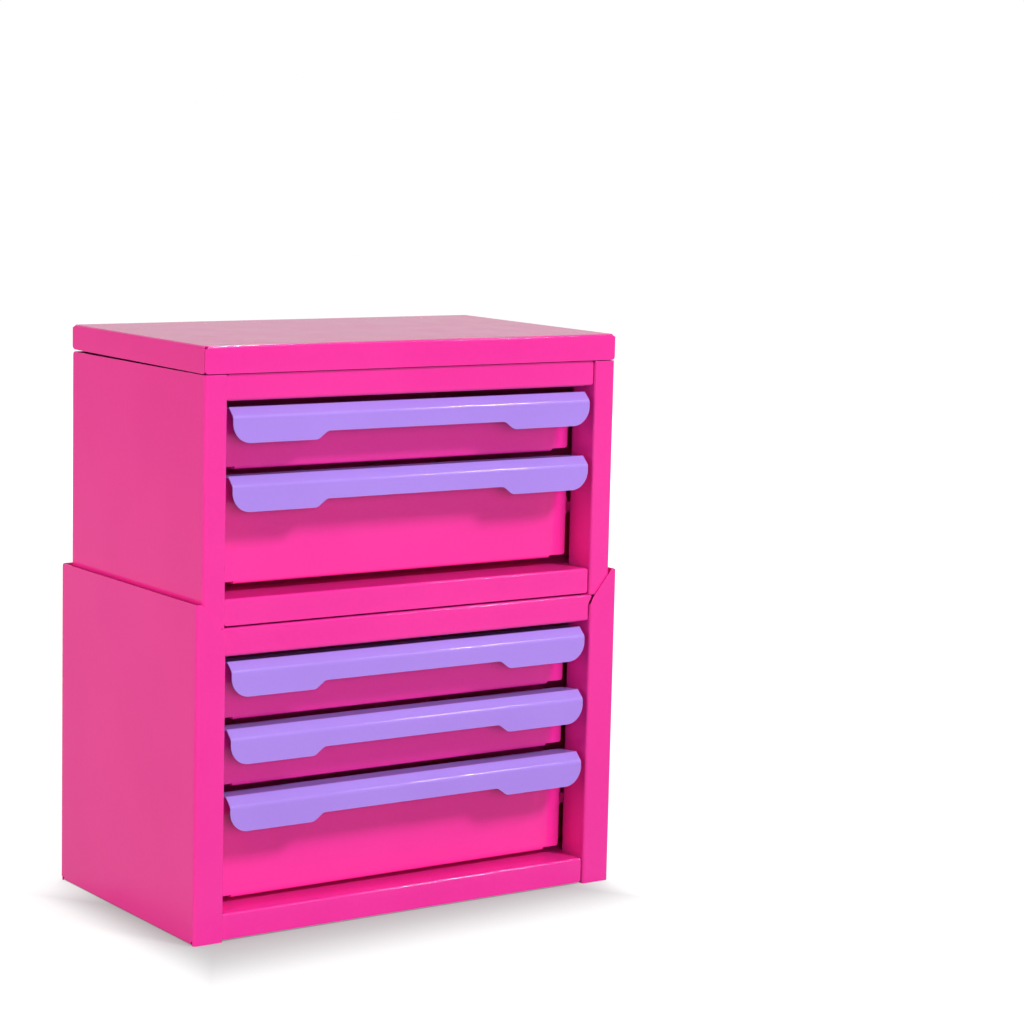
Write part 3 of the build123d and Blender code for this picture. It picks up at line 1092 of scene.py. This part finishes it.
@dataclass
class DrawerFront:
    """Front panel with turned vertical edges and a turned bottom edge between the end notches."""

    plan: DrawerPlan
    turn_back: float = 6.0
    edge_bend: float = 2.2
    corner: float = 3.0
    corner_shares: tuple[float, ...] = (0.75, 0.85, 1.0)
    notch_width: float = 12.0
    notch_height: float = 1.5
    flange: float = 9.0
    top_drop: float = 2.5

    def low_edge(self, across: float) -> float:
        """Height of the front's lower edge, or of its fold between the notches.

        Args:
            across: Place across the unit.

        Returns:
            The height.
        """
        plan = self.plan
        room = plan.front_half - abs(across)
        if abs(across) <= plan.front_half - self.notch_width + SLACK:
            return plan.low + STEEL.bend
        return plan.low + self.notch_height - eased(0.0, self.corner, room)

    def build(self) -> Piece:
        """Builds the front's mesh.

        Returns:
            The piece.
        """
        plan, half = self.plan, self.plan.front_half
        turned, top = half - self.notch_width, plan.top - self.top_drop
        path = folded([
            (-half, plan.face + self.turn_back),
            (-half, plan.face),
            (half, plan.face),
            (half, plan.face + self.turn_back),
        ], self.edge_bend)
        stops = [side * (half - self.corner * share) for side in (-1, 1) for share in self.corner_shares]
        path = with_stops(path, 0, (*stops, -turned, turned))
        sheet = Sheet(f"{plan.body}_front_sheet")
        lower = [(x, y, self.low_edge(x)) for x, y in path]
        sheet.run([lower, [(x, y, top) for x, y in path]], (-1.0, 0.0, 0.0))
        corners = [(plan.face, top), (plan.face, plan.low), (plan.face + self.flange, plan.low)]
        below = folded(corners)[1:]
        sheet.run([[(x, y, z) for x in (-turned, turned)] for y, z in below], (0.0, -1.0, 0.0))
        return sheet.finish()


@dataclass
class Tray:
    """Open box behind a drawer front and the pull's leg, with rounded corners."""

    plan: DrawerPlan
    half: float = 112.0
    length: float = 131.2
    rim_drop: float = 3.4
    corner: float = 3.0
    corner_least: float = 0.4
    corner_steps: int = 6

    def loop(self, inset: float, level: float) -> list[Point]:
        """Rounded rectangle at one height.

        Args:
            inset: Distance inside the tray's outer skin.
            level: The height.

        Returns:
            Its points in order, the first repeated at the end.
        """
        front = self.plan.face + 2 * STEEL.sheet
        radius = max(self.corner - inset, self.corner_least)
        near, far = front + inset, front + self.length - inset
        flat = rounded_loop(self.half - inset, near, far, radius, self.corner_steps)
        return [(x, y, level) for x, y in (*flat, flat[0])]

    def build(self) -> Piece:
        """Builds the tray's mesh.

        Returns:
            The piece.
        """
        plan, base = self.plan, self.plan.low + STEEL.sheet
        sheet = Sheet(f"{plan.body}_tray_sheet")
        rows = [self.loop(0.0, plan.top - self.rim_drop)]
        for step in range(STEEL.bend_steps + 1):
            angle = math.pi / 2 * step / STEEL.bend_steps
            inset, rise = STEEL.bend * (1 - math.cos(angle)), STEEL.bend * (1 - math.sin(angle))
            rows.append(self.loop(inset, base + rise))
        sheet.run(rows, (1.0, 1.0, 0.0))
        floor = sheet.mesh.faces.new([
            sheet.mesh.verts.new((x * MM, y * MM, z * MM)) for x, y, z in reversed(rows[-1][:-1])
        ])
        floor.normal_update()
        if floor.normal.z > 0:
            floor.normal_flip()
        return sheet.finish()


@dataclass
class Pull:
    """Full-width pull: leg behind the front, top flange, slanting facet and lip with a cutout."""

    plan: DrawerPlan
    recess: float = 19.5
    flange: float = 14.3
    flange_fall: float = 1.2
    facet_drop: float = 4.9
    height: float = 19.2
    leg: float = 12.0
    bend: float = 1.3
    lip_bend: float = 3.2
    leg_inset: float = 2.6
    corner: float = 11.0
    end_length: float = 53.0
    cutout_slope: float = 6.2
    cutout_depth: float = 4.6
    cutout_round: float = 5.0
    round_steps: int = 6
    lip_rows: int = 16

    def lip_edge(self) -> list[Flat]:
        """Lower edge of the lip from end to end, between its rounded corners.

        Returns:
            Points across, and their height above the lip's lowest line.
        """
        cut = self.plan.front_half - self.end_length
        flat = cut - self.cutout_slope
        corners = [(-cut - 2 * self.cutout_round, 0.0), (-cut, 0.0), (-flat, self.cutout_depth)]
        corners += [(-x, z) for x, z in reversed(corners)]
        made = [corners[0]]
        for before, here, after in zip(corners, corners[1:], corners[2:]):
            spot = Vector(here)
            back, ahead = Vector(before) - spot, Vector(after) - spot
            back.normalize()
            ahead.normalize()
            reach = self.cutout_round / math.tan(back.angle(ahead) / 2)
            for step in range(self.round_steps + 1):
                share = step / self.round_steps
                point = spot + back * reach * (1 - share) ** 2 + ahead * reach * share**2
                made.append((point.x, point.y))
        return [*made, corners[-1]]

    def build(self) -> Piece:
        """Builds the pull's mesh.

        Returns:
            The piece.
        """
        plan, half = self.plan, self.plan.front_half
        lip, bottom = plan.face - self.recess, plan.top - self.height
        edge = self.lip_edge()
        leg_back = plan.face + 2 * STEEL.sheet
        path = folded([
            (leg_back, plan.top - self.leg),
            (leg_back, plan.top - self.flange_fall),
            (plan.face - self.flange, plan.top),
            (lip, plan.top - self.facet_drop, self.lip_bend),
            (lip, bottom),
        ], self.bend)[:-1]
        path = with_stops(path, 0, (plan.face - STEEL.sheet / 2,))
        rows = []
        for y, z in path:
            reach = half - self.leg_inset if y > plan.face else half
            rows.append([(x, y, z) for x in (-reach, *(x for x, _ in edge), reach)])
        start = path[-1][1]
        for step in range(1, self.lip_rows + 1):
            share = math.sin(math.pi / 2 * step / self.lip_rows)
            level = start + (bottom - start) * share
            reach = eased(half, self.corner, level - bottom)
            middle = [(x, lip, start + (bottom + rise - start) * share) for x, rise in edge]
            rows.append([(-reach, lip, level), *middle, (reach, lip, level)])
        sheet = Sheet(f"{plan.body}_pull_sheet")
        sheet.run(rows, (0.0, 1.0, 0.0))
        return sheet.finish()


# ---------------------------------------------------------------- rivets


@dataclass(frozen=True)
class RivetSizes:
    """Sizes of a set blind rivet, in millimetres."""

    head_radius: float = 2.5
    head_height: float = 0.9
    stem_radius: float = 0.75
    crater_radius: float = 0.95
    crater_rim: float = 0.18
    tail_radius: float = 1.9
    tail_height: float = 0.6


class RivetTree:
    """Geometry Nodes tree that sets a blind rivet on every point of a carrier mesh."""

    LENGTHS = (
        "Head Radius", "Head Height", "Stem Radius", "Crater Radius", "Crater Rim", "Tail Radius",
        "Tail Height", "Grip",
    )
    DOME_SIDES, DOME_RINGS = 24, 12
    CRATER_SIDES, RIM_SIDES, STEM_SIDES = 20, 8, 16
    CRATER_LEVEL, STEM_LEVEL = 0.9, 1.06

    def __init__(self) -> None:
        """Builds the tree."""
        tree = self.tree = bpy.data.node_groups.new("blind_rivets", "GeometryNodeTree")
        socket(tree, "NodeSocketGeometry", "Geometry", "INPUT")
        for name in self.LENGTHS:
            socket(tree, "NodeSocketFloat", name, "INPUT")
        socket(tree, "NodeSocketRotation", "Turn", "INPUT")
        socket(tree, "NodeSocketMaterial", "Plate", "INPUT")
        socket(tree, "NodeSocketGeometry", "Geometry", "OUTPUT")
        self.given = add_node(tree, "NodeGroupInput").outputs
        whole = add_node(tree, "GeometryNodeJoinGeometry")
        head = self._dome("Head Radius", "Head Height", 1.0)
        for part in (head, self._crater(), self._stem(), self._tail()):
            tree.links.new(part, whole.inputs["Geometry"])
        placed = add_node(tree, "GeometryNodeInstanceOnPoints", {
            "Points": self.given["Geometry"],
            "Instance": whole.outputs["Geometry"],
            "Rotation": self.given["Turn"],
        })
        real = add_node(tree, "GeometryNodeRealizeInstances", {"Geometry": placed.outputs["Instances"]})
        smooth = add_node(tree, "GeometryNodeSetShadeSmooth", {"Geometry": real.outputs["Geometry"]})
        coated = add_node(tree, "GeometryNodeSetMaterial", {
            "Geometry": smooth.outputs["Geometry"], "Material": self.given["Plate"],
        })
        add_node(tree, "NodeGroupOutput", {"Geometry": coated.outputs["Geometry"]})

    def _vector(self, x: Socket, y: Socket, z: Socket) -> Socket:
        """Vector from three values."""
        return add_node(self.tree, "ShaderNodeCombineXYZ", {"X": x, "Y": y, "Z": z}).outputs[0]

    def _raised(self, shape: Socket, level: Socket) -> Socket:
        """Shape moved along the rivet's axis.

        Args:
            shape: Geometry.
            level: Distance that it moves.

        Returns:
            The moved geometry.
        """
        shift = add_node(self.tree, "ShaderNodeCombineXYZ", {"Z": level})
        node = add_node(self.tree, "GeometryNodeTransform", {
            "Geometry": shape, "Translation": shift.outputs[0],
        })
        return node.outputs["Geometry"]

    def _dome(self, radius: str, height: str, way: float) -> Socket:
        """Low dome on its bearing plane.

        Args:
            radius: Input that gives its radius.
            height: Input that gives its height.
            way: 1 above the plane, -1 below.

        Returns:
            The dome.
        """
        tree = self.tree
        ball = add_node(tree, "GeometryNodeMeshUVSphere", {
            "Segments": self.DOME_SIDES, "Rings": self.DOME_RINGS, "Radius": 1.0,
        })
        spot = add_node(tree, "GeometryNodeInputPosition").outputs[0]
        split = add_node(tree, "ShaderNodeSeparateXYZ", {0: spot}).outputs
        kept = maths(tree, "MAXIMUM", split["Z"], 0.0)
        flat = add_node(tree, "GeometryNodeSetPosition", {
            "Geometry": ball.outputs["Mesh"], "Position": self._vector(split["X"], split["Y"], kept),
        })
        wide, tall = self.given[radius], maths(tree, "MULTIPLY", self.given[height], way)
        node = add_node(tree, "GeometryNodeTransform", {
            "Geometry": flat.outputs["Geometry"], "Scale": self._vector(wide, wide, tall),
        })
        return node.outputs["Geometry"]

    def _crater(self) -> Socket:
        """Raised rim round the stem's hole.

        Returns:
            The rim.
        """
        line, section = (
            add_node(self.tree, "GeometryNodeCurvePrimitiveCircle", {
                "Resolution": sides, "Radius": self.given[radius],
            })
            for sides, radius in ((self.CRATER_SIDES, "Crater Radius"), (self.RIM_SIDES, "Crater Rim"))
        )
        tube = add_node(self.tree, "GeometryNodeCurveToMesh", {
            "Curve": line.outputs["Curve"], "Profile Curve": section.outputs["Curve"],
        })
        level = maths(self.tree, "MULTIPLY", self.given["Head Height"], self.CRATER_LEVEL)
        return self._raised(tube.outputs["Mesh"], level)

    def _stem(self) -> Socket:
        """Broken stem inside the crater, down through the grip.

        Returns:
            The stem.
        """
        tree, grip = self.tree, self.given["Grip"]
        above = maths(tree, "MULTIPLY", self.given["Head Height"], self.STEM_LEVEL)
        bar = add_node(tree, "GeometryNodeMeshCylinder", {
            "Vertices": self.STEM_SIDES,
            "Radius": self.given["Stem Radius"],
            "Depth": maths(tree, "ADD", above, grip),
        })
        centre = maths(tree, "MULTIPLY", maths(tree, "SUBTRACT", above, grip), 0.5)
        return self._raised(bar.outputs["Mesh"], centre)

    def _tail(self) -> Socket:
        """Set tail on the blind side.

        Returns:
            The tail.
        """
        dome = self._dome("Tail Radius", "Tail Height", -1.0)
        flip = add_node(self.tree, "GeometryNodeFlipFaces", {"Mesh": dome})
        down = maths(self.tree, "MULTIPLY", self.given["Grip"], -1.0)
        return self._raised(flip.outputs["Mesh"], down)


@dataclass
class RivetRow:
    """Blind rivets of one body, set through its sheets."""

    name: str
    places: list[Point]
    toward_back: bool
    grip: float
    sizes: RivetSizes = field(default_factory=RivetSizes)

    def build(self, tree: RivetTree, plate: Material) -> Piece:
        """Builds the rivets as one plain mesh.

        Args:
            tree: The rivet tree.
            plate: Material of the rivets.

        Returns:
            The piece.
        """
        data = bpy.data.meshes.new(f"{self.name}_points")
        data.from_pydata([[value * MM for value in place] for place in self.places], [], [])
        piece = bpy.data.objects.new(self.name, data)
        setter = piece.modifiers.new("rivets", "NODES")
        setter.node_group = tree.tree
        known = {
            item.name: item.identifier
            for item in tree.tree.interface.items_tree if item.in_out == "INPUT"
        }
        for name, value in zip(tree.LENGTHS, (*astuple(self.sizes), self.grip)):
            setter[known[name]] = value * MM
        setter[known["Turn"]] = (-math.pi / 2 if self.toward_back else math.pi / 2, 0.0, 0.0)
        setter[known["Plate"]] = plate
        bpy.context.scene.collection.objects.link(piece)
        shown = piece.evaluated_get(bpy.context.evaluated_depsgraph_get())
        plain = bpy.data.meshes.new_from_object(shown)
        plain.name = self.name
        piece.modifiers.clear()
        piece.data = plain
        bpy.data.meshes.remove(data)
        return piece


# ---------------------------------------------------------------- sub-assemblies


@dataclass
class Chest:
    """One chest: side panels, cross panels, back and the rails kept from the frame."""

    plan: ChestPlan
    panels: list[CrossPanel]
    drawers: tuple[int, ...]
    ear: Optional[Ear] = None

    def build(self, paint: Paintshop) -> None:
        """Builds and dresses the chest.

        Args:
            paint: The finishes.
        """
        name, body = self.plan.name, self.plan.body
        panels = [
            (SidePanel(self.plan, hand, self.ear), f"{name}_{hand.name.lower()}_side") for hand in Hand
        ]
        panels += [(panel, panel.node) for panel in self.panels]
        panels.append((BackPanel(self.plan), f"{name}_back_panel"))
        for panel, node in panels:
            hand_over(paint.dress(panel.build(), Finish.PINK), body, node)
        paint.dress_node(f"{name}_uprights", Finish.PINK)
        for number in self.drawers:
            paint.dress_node(f"drawer_{number}_cabinet_rails", Finish.PINK)


@dataclass
class LidAssembly:
    """Lid with its two hinges."""

    plan: ChestPlan
    rivet_spacing: float = 24.0
    rivet_reach: float = 6.6

    def rivet_places(self, way: int) -> list[Point]:
        """Places of the hinge rivets on one body.

        Args:
            way: 1 for the lid's leaves, -1 for the chest's.

        Returns:
            Points on the leaves' outer face.
        """
        depth = self.plan.back + STEEL.sheet
        level = HingeLeaf.pin_level + way * self.rivet_reach
        half = self.rivet_spacing / 2
        return [(centre + side * half, depth, level) for centre in HingeLeaf.centres for side in (-1, 1)]

    def build(self, paint: Paintshop, rivets: RivetTree) -> None:
        """Builds and dresses the lid and its hinges.

        Args:
            paint: The finishes.
            rivets: The rivet tree.
        """
        cover = paint.dress(Lid(self.plan).build(), Finish.PINK)
        hand_over(cover, "lid", "lid_cover")
        zinc = Finish.ZINC
        for part, body, way, knuckles in (("chest", self.plan.body, -1, (0, 2)), ("lid", "lid", 1, (1,))):
            leaf = HingeLeaf(f"hinge_{part}_leaf_pair", self.plan, way, knuckles).build()
            hand_over(paint.dress(leaf, zinc), body, f"hinge_{part}_leaves")
            row = RivetRow(f"hinge_{part}_rivet_row", self.rivet_places(way), True, 2 * STEEL.sheet)
            hand_over(row.build(rivets, paint.face(zinc)), body, f"hinge_{part}_rivets")
        paint.dress_node("hinge_pins", Finish.ZINC)


@dataclass
class Drawer:
    """One drawer: front, tray, pull, its rivets and the slide members kept from the frame."""

    plan: DrawerPlan
    rivet_reach: float = 92.0
    rivet_drop: float = 7.4

    def build(self, paint: Paintshop, rivets: RivetTree) -> None:
        """Builds and dresses the drawer.

        Args:
            paint: The finishes.
            rivets: The rivet tree.
        """
        plan, body = self.plan, self.plan.body
        for made, finish, node in (
            (DrawerFront(plan).build(), Finish.PINK, "front"),
            (Tray(plan).build(), Finish.PINK, "tray"),
            (Pull(plan).build(), Finish.LAVENDER, "pull"),
        ):
            hand_over(paint.dress(made, finish), body, f"{body}_{node}")
        level, zinc = plan.top - self.rivet_drop, Finish.ZINC
        places = [(x, plan.face, level) for x in (-self.rivet_reach, 0.0, self.rivet_reach)]
        row = RivetRow(f"{body}_pull_rivet_row", places, False, 3 * STEEL.sheet)
        hand_over(row.build(rivets, paint.face(zinc)), body, f"{body}_pull_rivets")
        paint.dress_node(f"{body}_slide_members", Finish.PINK)


# ---------------------------------------------------------------- studio


@dataclass(frozen=True)
class SoftBox:
    """Rectangular soft light, in metres and watts."""

    name: str
    place: Point
    width: float
    height: float
    power: float
    tint: Colour = (1.0, 1.0, 1.0)
    aim: Point = (0.0, 0.0, 0.16)
    fills: bool = True
    glints: bool = True

    def build(self) -> None:
        """Places the light."""
        data = bpy.data.lights.new(self.name, "AREA")
        data.shape = "RECTANGLE"
        data.color = self.tint
        data.size, data.size_y, data.energy = self.width, self.height, self.power
        lamp = bpy.data.objects.new(self.name, data)
        lamp.visible_diffuse, lamp.visible_glossy = self.fills, self.glints
        lamp.location = self.place
        beam = Vector(self.aim) - Vector(self.place)
        lamp.rotation_euler = beam.to_track_quat("-Z", "Y").to_euler()
        bpy.context.scene.collection.objects.link(lamp)


@dataclass
class Studio:
    """Pale floor with a painted soft shadow round the unit, white surround, soft boxes and the camera."""

    floor_half: float = 6.0
    floor_colour: Colour = (0.2, 0.2, 0.2)
    contact_reach: float = 0.03
    contact_power: float = 0.3
    contact_samples: int = 16
    # Painted shadow in the floor's glow: its depth, slant and soft ends.
    shade_depth: float = 0.55
    shade_skew: float = 0.065
    shade_left: Flat = (-0.1855, -0.127)
    shade_right: Flat = (0.155, 0.1)
    shade_front: Flat = (-0.168, -0.0715)
    shade_rear: Flat = (0.085, -0.005)
    near_lift: float = 0.93
    far_lift: float = 1.0
    lift_from: float = 0.35
    lift_to: float = 1.6
    room_level: float = 0.08
    gloss_behind: float = 0.6
    gloss_before: float = 0.3
    gloss_turn: float = 0.5
    gloss_left: float = 0.59
    camera_place: Point = (-0.88119, -1.42986, 0.45529)
    camera_turn: Point = (82.085, -1.3811, -34.8262)
    lens: float = 102.233
    sensor: float = 36.0
    clip_near: float = 0.05
    clip_far: float = 50.0
    boxes: tuple[SoftBox, ...] = (
        SoftBox("key_box", (1.07, -2.29, 2.43), 0.6, 0.6, 71.0),
        SoftBox(
            "front_box", (-0.66, -2.47, 0.5), 1.4, 1.0, 33.0, (0.97, 0.98, 1.0), aim=(0.0, 0.0, 0.1),
            glints=False,
        ),
        SoftBox("left_box", (-2.2, 0.15, 0.6), 1.2, 1.2, 33.0, (1.0, 0.92, 0.83), glints=False),
        SoftBox("rear_box", (1.25, 2.1, 1.0), 1.6, 1.4, 54.0, glints=False),
        SoftBox("edge_tube", (1.11, 0.14, 2.5), 0.1, 0.06, 13.0, fills=False),
        SoftBox("streak_tube", (2.27, -2.12, 2.8), 0.18, 0.04, 12.0),
    )

    def gloss(self, tree: Tree, place: Socket) -> Socket:
        """Level of the room in reflections: pale behind the unit, dimmer before it and on its left.

        Args:
            tree: Tree that gets the nodes.
            place: Place or direction in the room.

        Returns:
            The level.
        """
        split = add_node(tree, "ShaderNodeSeparateXYZ", {0: place}).outputs
        turn = self.gloss_turn
        depth = spread(tree, split["Y"], -turn, turn, self.gloss_before, self.gloss_behind)
        return maths(tree, "MULTIPLY", depth, spread(tree, split["X"], -turn, 0.0, self.gloss_left))

    def shade(self, tree: Tree, place: Socket) -> Socket:
        """Painted soft shadow in the floor's glow: thin where the unit touches it, wider before it and on
        its left.

        Args:
            tree: Tree that gets the nodes.
            place: Place on the floor.

        Returns:
            The share of the floor's glow that the painted shadow leaves.
        """
        contact = add_node(tree, "ShaderNodeAmbientOcclusion", {"Distance": self.contact_reach})
        contact.samples = self.contact_samples
        split = add_node(tree, "ShaderNodeSeparateXYZ", {0: place}).outputs
        across, depth = split["X"], split["Y"]
        slanted = maths(tree, "SUBTRACT", depth, maths(tree, "MULTIPLY", across, self.shade_skew))
        wide = spread(tree, across, *self.shade_left)
        for value, ends in (
            (across, self.shade_right), (slanted, self.shade_front), (depth, self.shade_rear),
        ):
            wide = maths(tree, "MINIMUM", wide, spread(tree, value, *ends))
        thin = maths(tree, "POWER", contact.outputs["AO"], self.contact_power)
        kept = maths(tree, "ADD", maths(tree, "MULTIPLY", wide, -self.shade_depth), 1.0)
        return maths(tree, "MULTIPLY", thin, kept)

    def floor(self) -> None:
        """Builds the floor with its material, whose glow carries a painted shadow round the unit."""
        half = self.floor_half
        data = bpy.data.meshes.new("floor")
        corners = [(-half, -half, 0), (half, -half, 0), (half, half, 0), (-half, half, 0)]
        data.from_pydata(corners, [], [(0, 1, 2, 3)])
        piece = bpy.data.objects.new("floor", data)
        bpy.context.scene.collection.objects.link(piece)
        made = bpy.data.materials.new("studio_floor")
        made.use_nodes = True
        tree = made.node_tree
        tree.nodes.clear()
        matt = add_node(tree, "ShaderNodeBsdfDiffuse", {"Color": (*self.floor_colour, 1.0)})
        place = add_node(tree, "ShaderNodeTexCoord").outputs["Object"]
        away = add_node(tree, "ShaderNodeVectorMath", {0: place})
        away.operation = "LENGTH"
        level = spread(
            tree, away.outputs["Value"], self.lift_from, self.lift_to, self.near_lift, self.far_lift
        )
        # Painted shadow: the floor's glow is darkened round the unit.
        level = maths(tree, "MULTIPLY", level, self.shade(tree, place))
        path = add_node(tree, "ShaderNodeLightPath").outputs
        mirrored = maths(tree, "MULTIPLY", path["Is Glossy Ray"], self.gloss(tree, place))
        seen = maths(tree, "MAXIMUM", path["Is Camera Ray"], mirrored)
        lift = add_node(tree, "ShaderNodeEmission", {"Strength": maths(tree, "MULTIPLY", level, seen)})
        both = add_node(tree, "ShaderNodeAddShader", {0: matt.outputs[0], 1: lift.outputs[0]})
        add_node(tree, "ShaderNodeOutputMaterial", {"Surface": both.outputs[0]})
        data.materials.append(made)

    def surround(self) -> None:
        """Builds the world: white to the camera, grey in reflections, dim as a light."""
        world = bpy.data.worlds.new("studio_room")
        world.use_nodes = True
        bpy.context.scene.world = world
        tree = world.node_tree
        light = tree.nodes["Background"].inputs
        light["Color"].default_value = (1.0, 1.0, 1.0, 1.0)
        path = add_node(tree, "ShaderNodeLightPath").outputs
        ahead = add_node(tree, "ShaderNodeTexCoord").outputs["Generated"]
        mirrored = maths(tree, "MULTIPLY", path["Is Glossy Ray"], self.gloss(tree, ahead))
        seen = maths(tree, "MAXIMUM", path["Is Camera Ray"], path["Is Transmission Ray"])
        seen = maths(tree, "MAXIMUM", seen, mirrored)
        tree.links.new(maths(tree, "MAXIMUM", seen, self.room_level), light["Strength"])

    def camera(self) -> None:
        """Places the camera."""
        data = bpy.data.cameras.new("camera")
        data.lens, data.sensor_width = self.lens, self.sensor
        data.clip_start, data.clip_end = self.clip_near, self.clip_far
        view = bpy.data.objects.new("camera", data)
        view.location = self.camera_place
        view.rotation_euler = [math.radians(angle) for angle in self.camera_turn]
        bpy.context.scene.collection.objects.link(view)
        bpy.context.scene.camera = view

    def build(self) -> None:
        """Builds the studio."""
        bpy.context.scene.view_settings.view_transform = "Standard"
        self.floor()
        self.surround()
        for box in self.boxes:
            box.build()
        self.camera()


def main() -> None:
    """Builds the unit piece by piece, then the studio."""
    logging.basicConfig(level=logging.INFO, format="%(name)s: %(message)s")
    paint, rivets = Paintshop(), RivetTree()
    lower = ChestPlan("lower", half=140.0, front=-81.0, back=81.0, base=0.0, top=188.0)
    upper = ChestPlan("upper", half=135.5, front=-79.7, back=77.3, base=173.8, top=311.0)
    ear = Ear()
    Chest(lower, [
        CrossPanel(lower, "lower_floor_sheet", "lower_floor_pan", Rail.BELOW, low=0.9, high=15.5),
        CrossPanel(lower, "lower_deck_sheet", "lower_deck", Rail.LIPPED, low=158.2, high=173.8, ear=ear),
    ], (3, 4, 5), ear).build(paint)
    Chest(upper, [
        CrossPanel(upper, "upper_floor_sheet", "upper_floor_pan", Rail.BELOW, low=174.8, high=189.4),
        CrossPanel(upper, "upper_till_sheet", "upper_till", Rail.ABOVE, low=296.6, high=311.0, flange=13.4),
    ], (1, 2)).build(paint)
    LidAssembly(upper).build(paint, rivets)
    shallow, deep, upper_face, lower_face = 35.8, 61.6, -60.2, -61.5
    for number, face, top, height in (
        (1, upper_face, 293.0, shallow),
        (2, upper_face, 255.6, deep),
        (3, lower_face, 154.6, shallow),
        (4, lower_face, 117.2, shallow),
        (5, lower_face, 79.8, deep),
    ):
        Drawer(DrawerPlan(number, face, top - height, top)).build(paint, rivets)
    Studio().build()


if __name__ == "__main__":
    main()
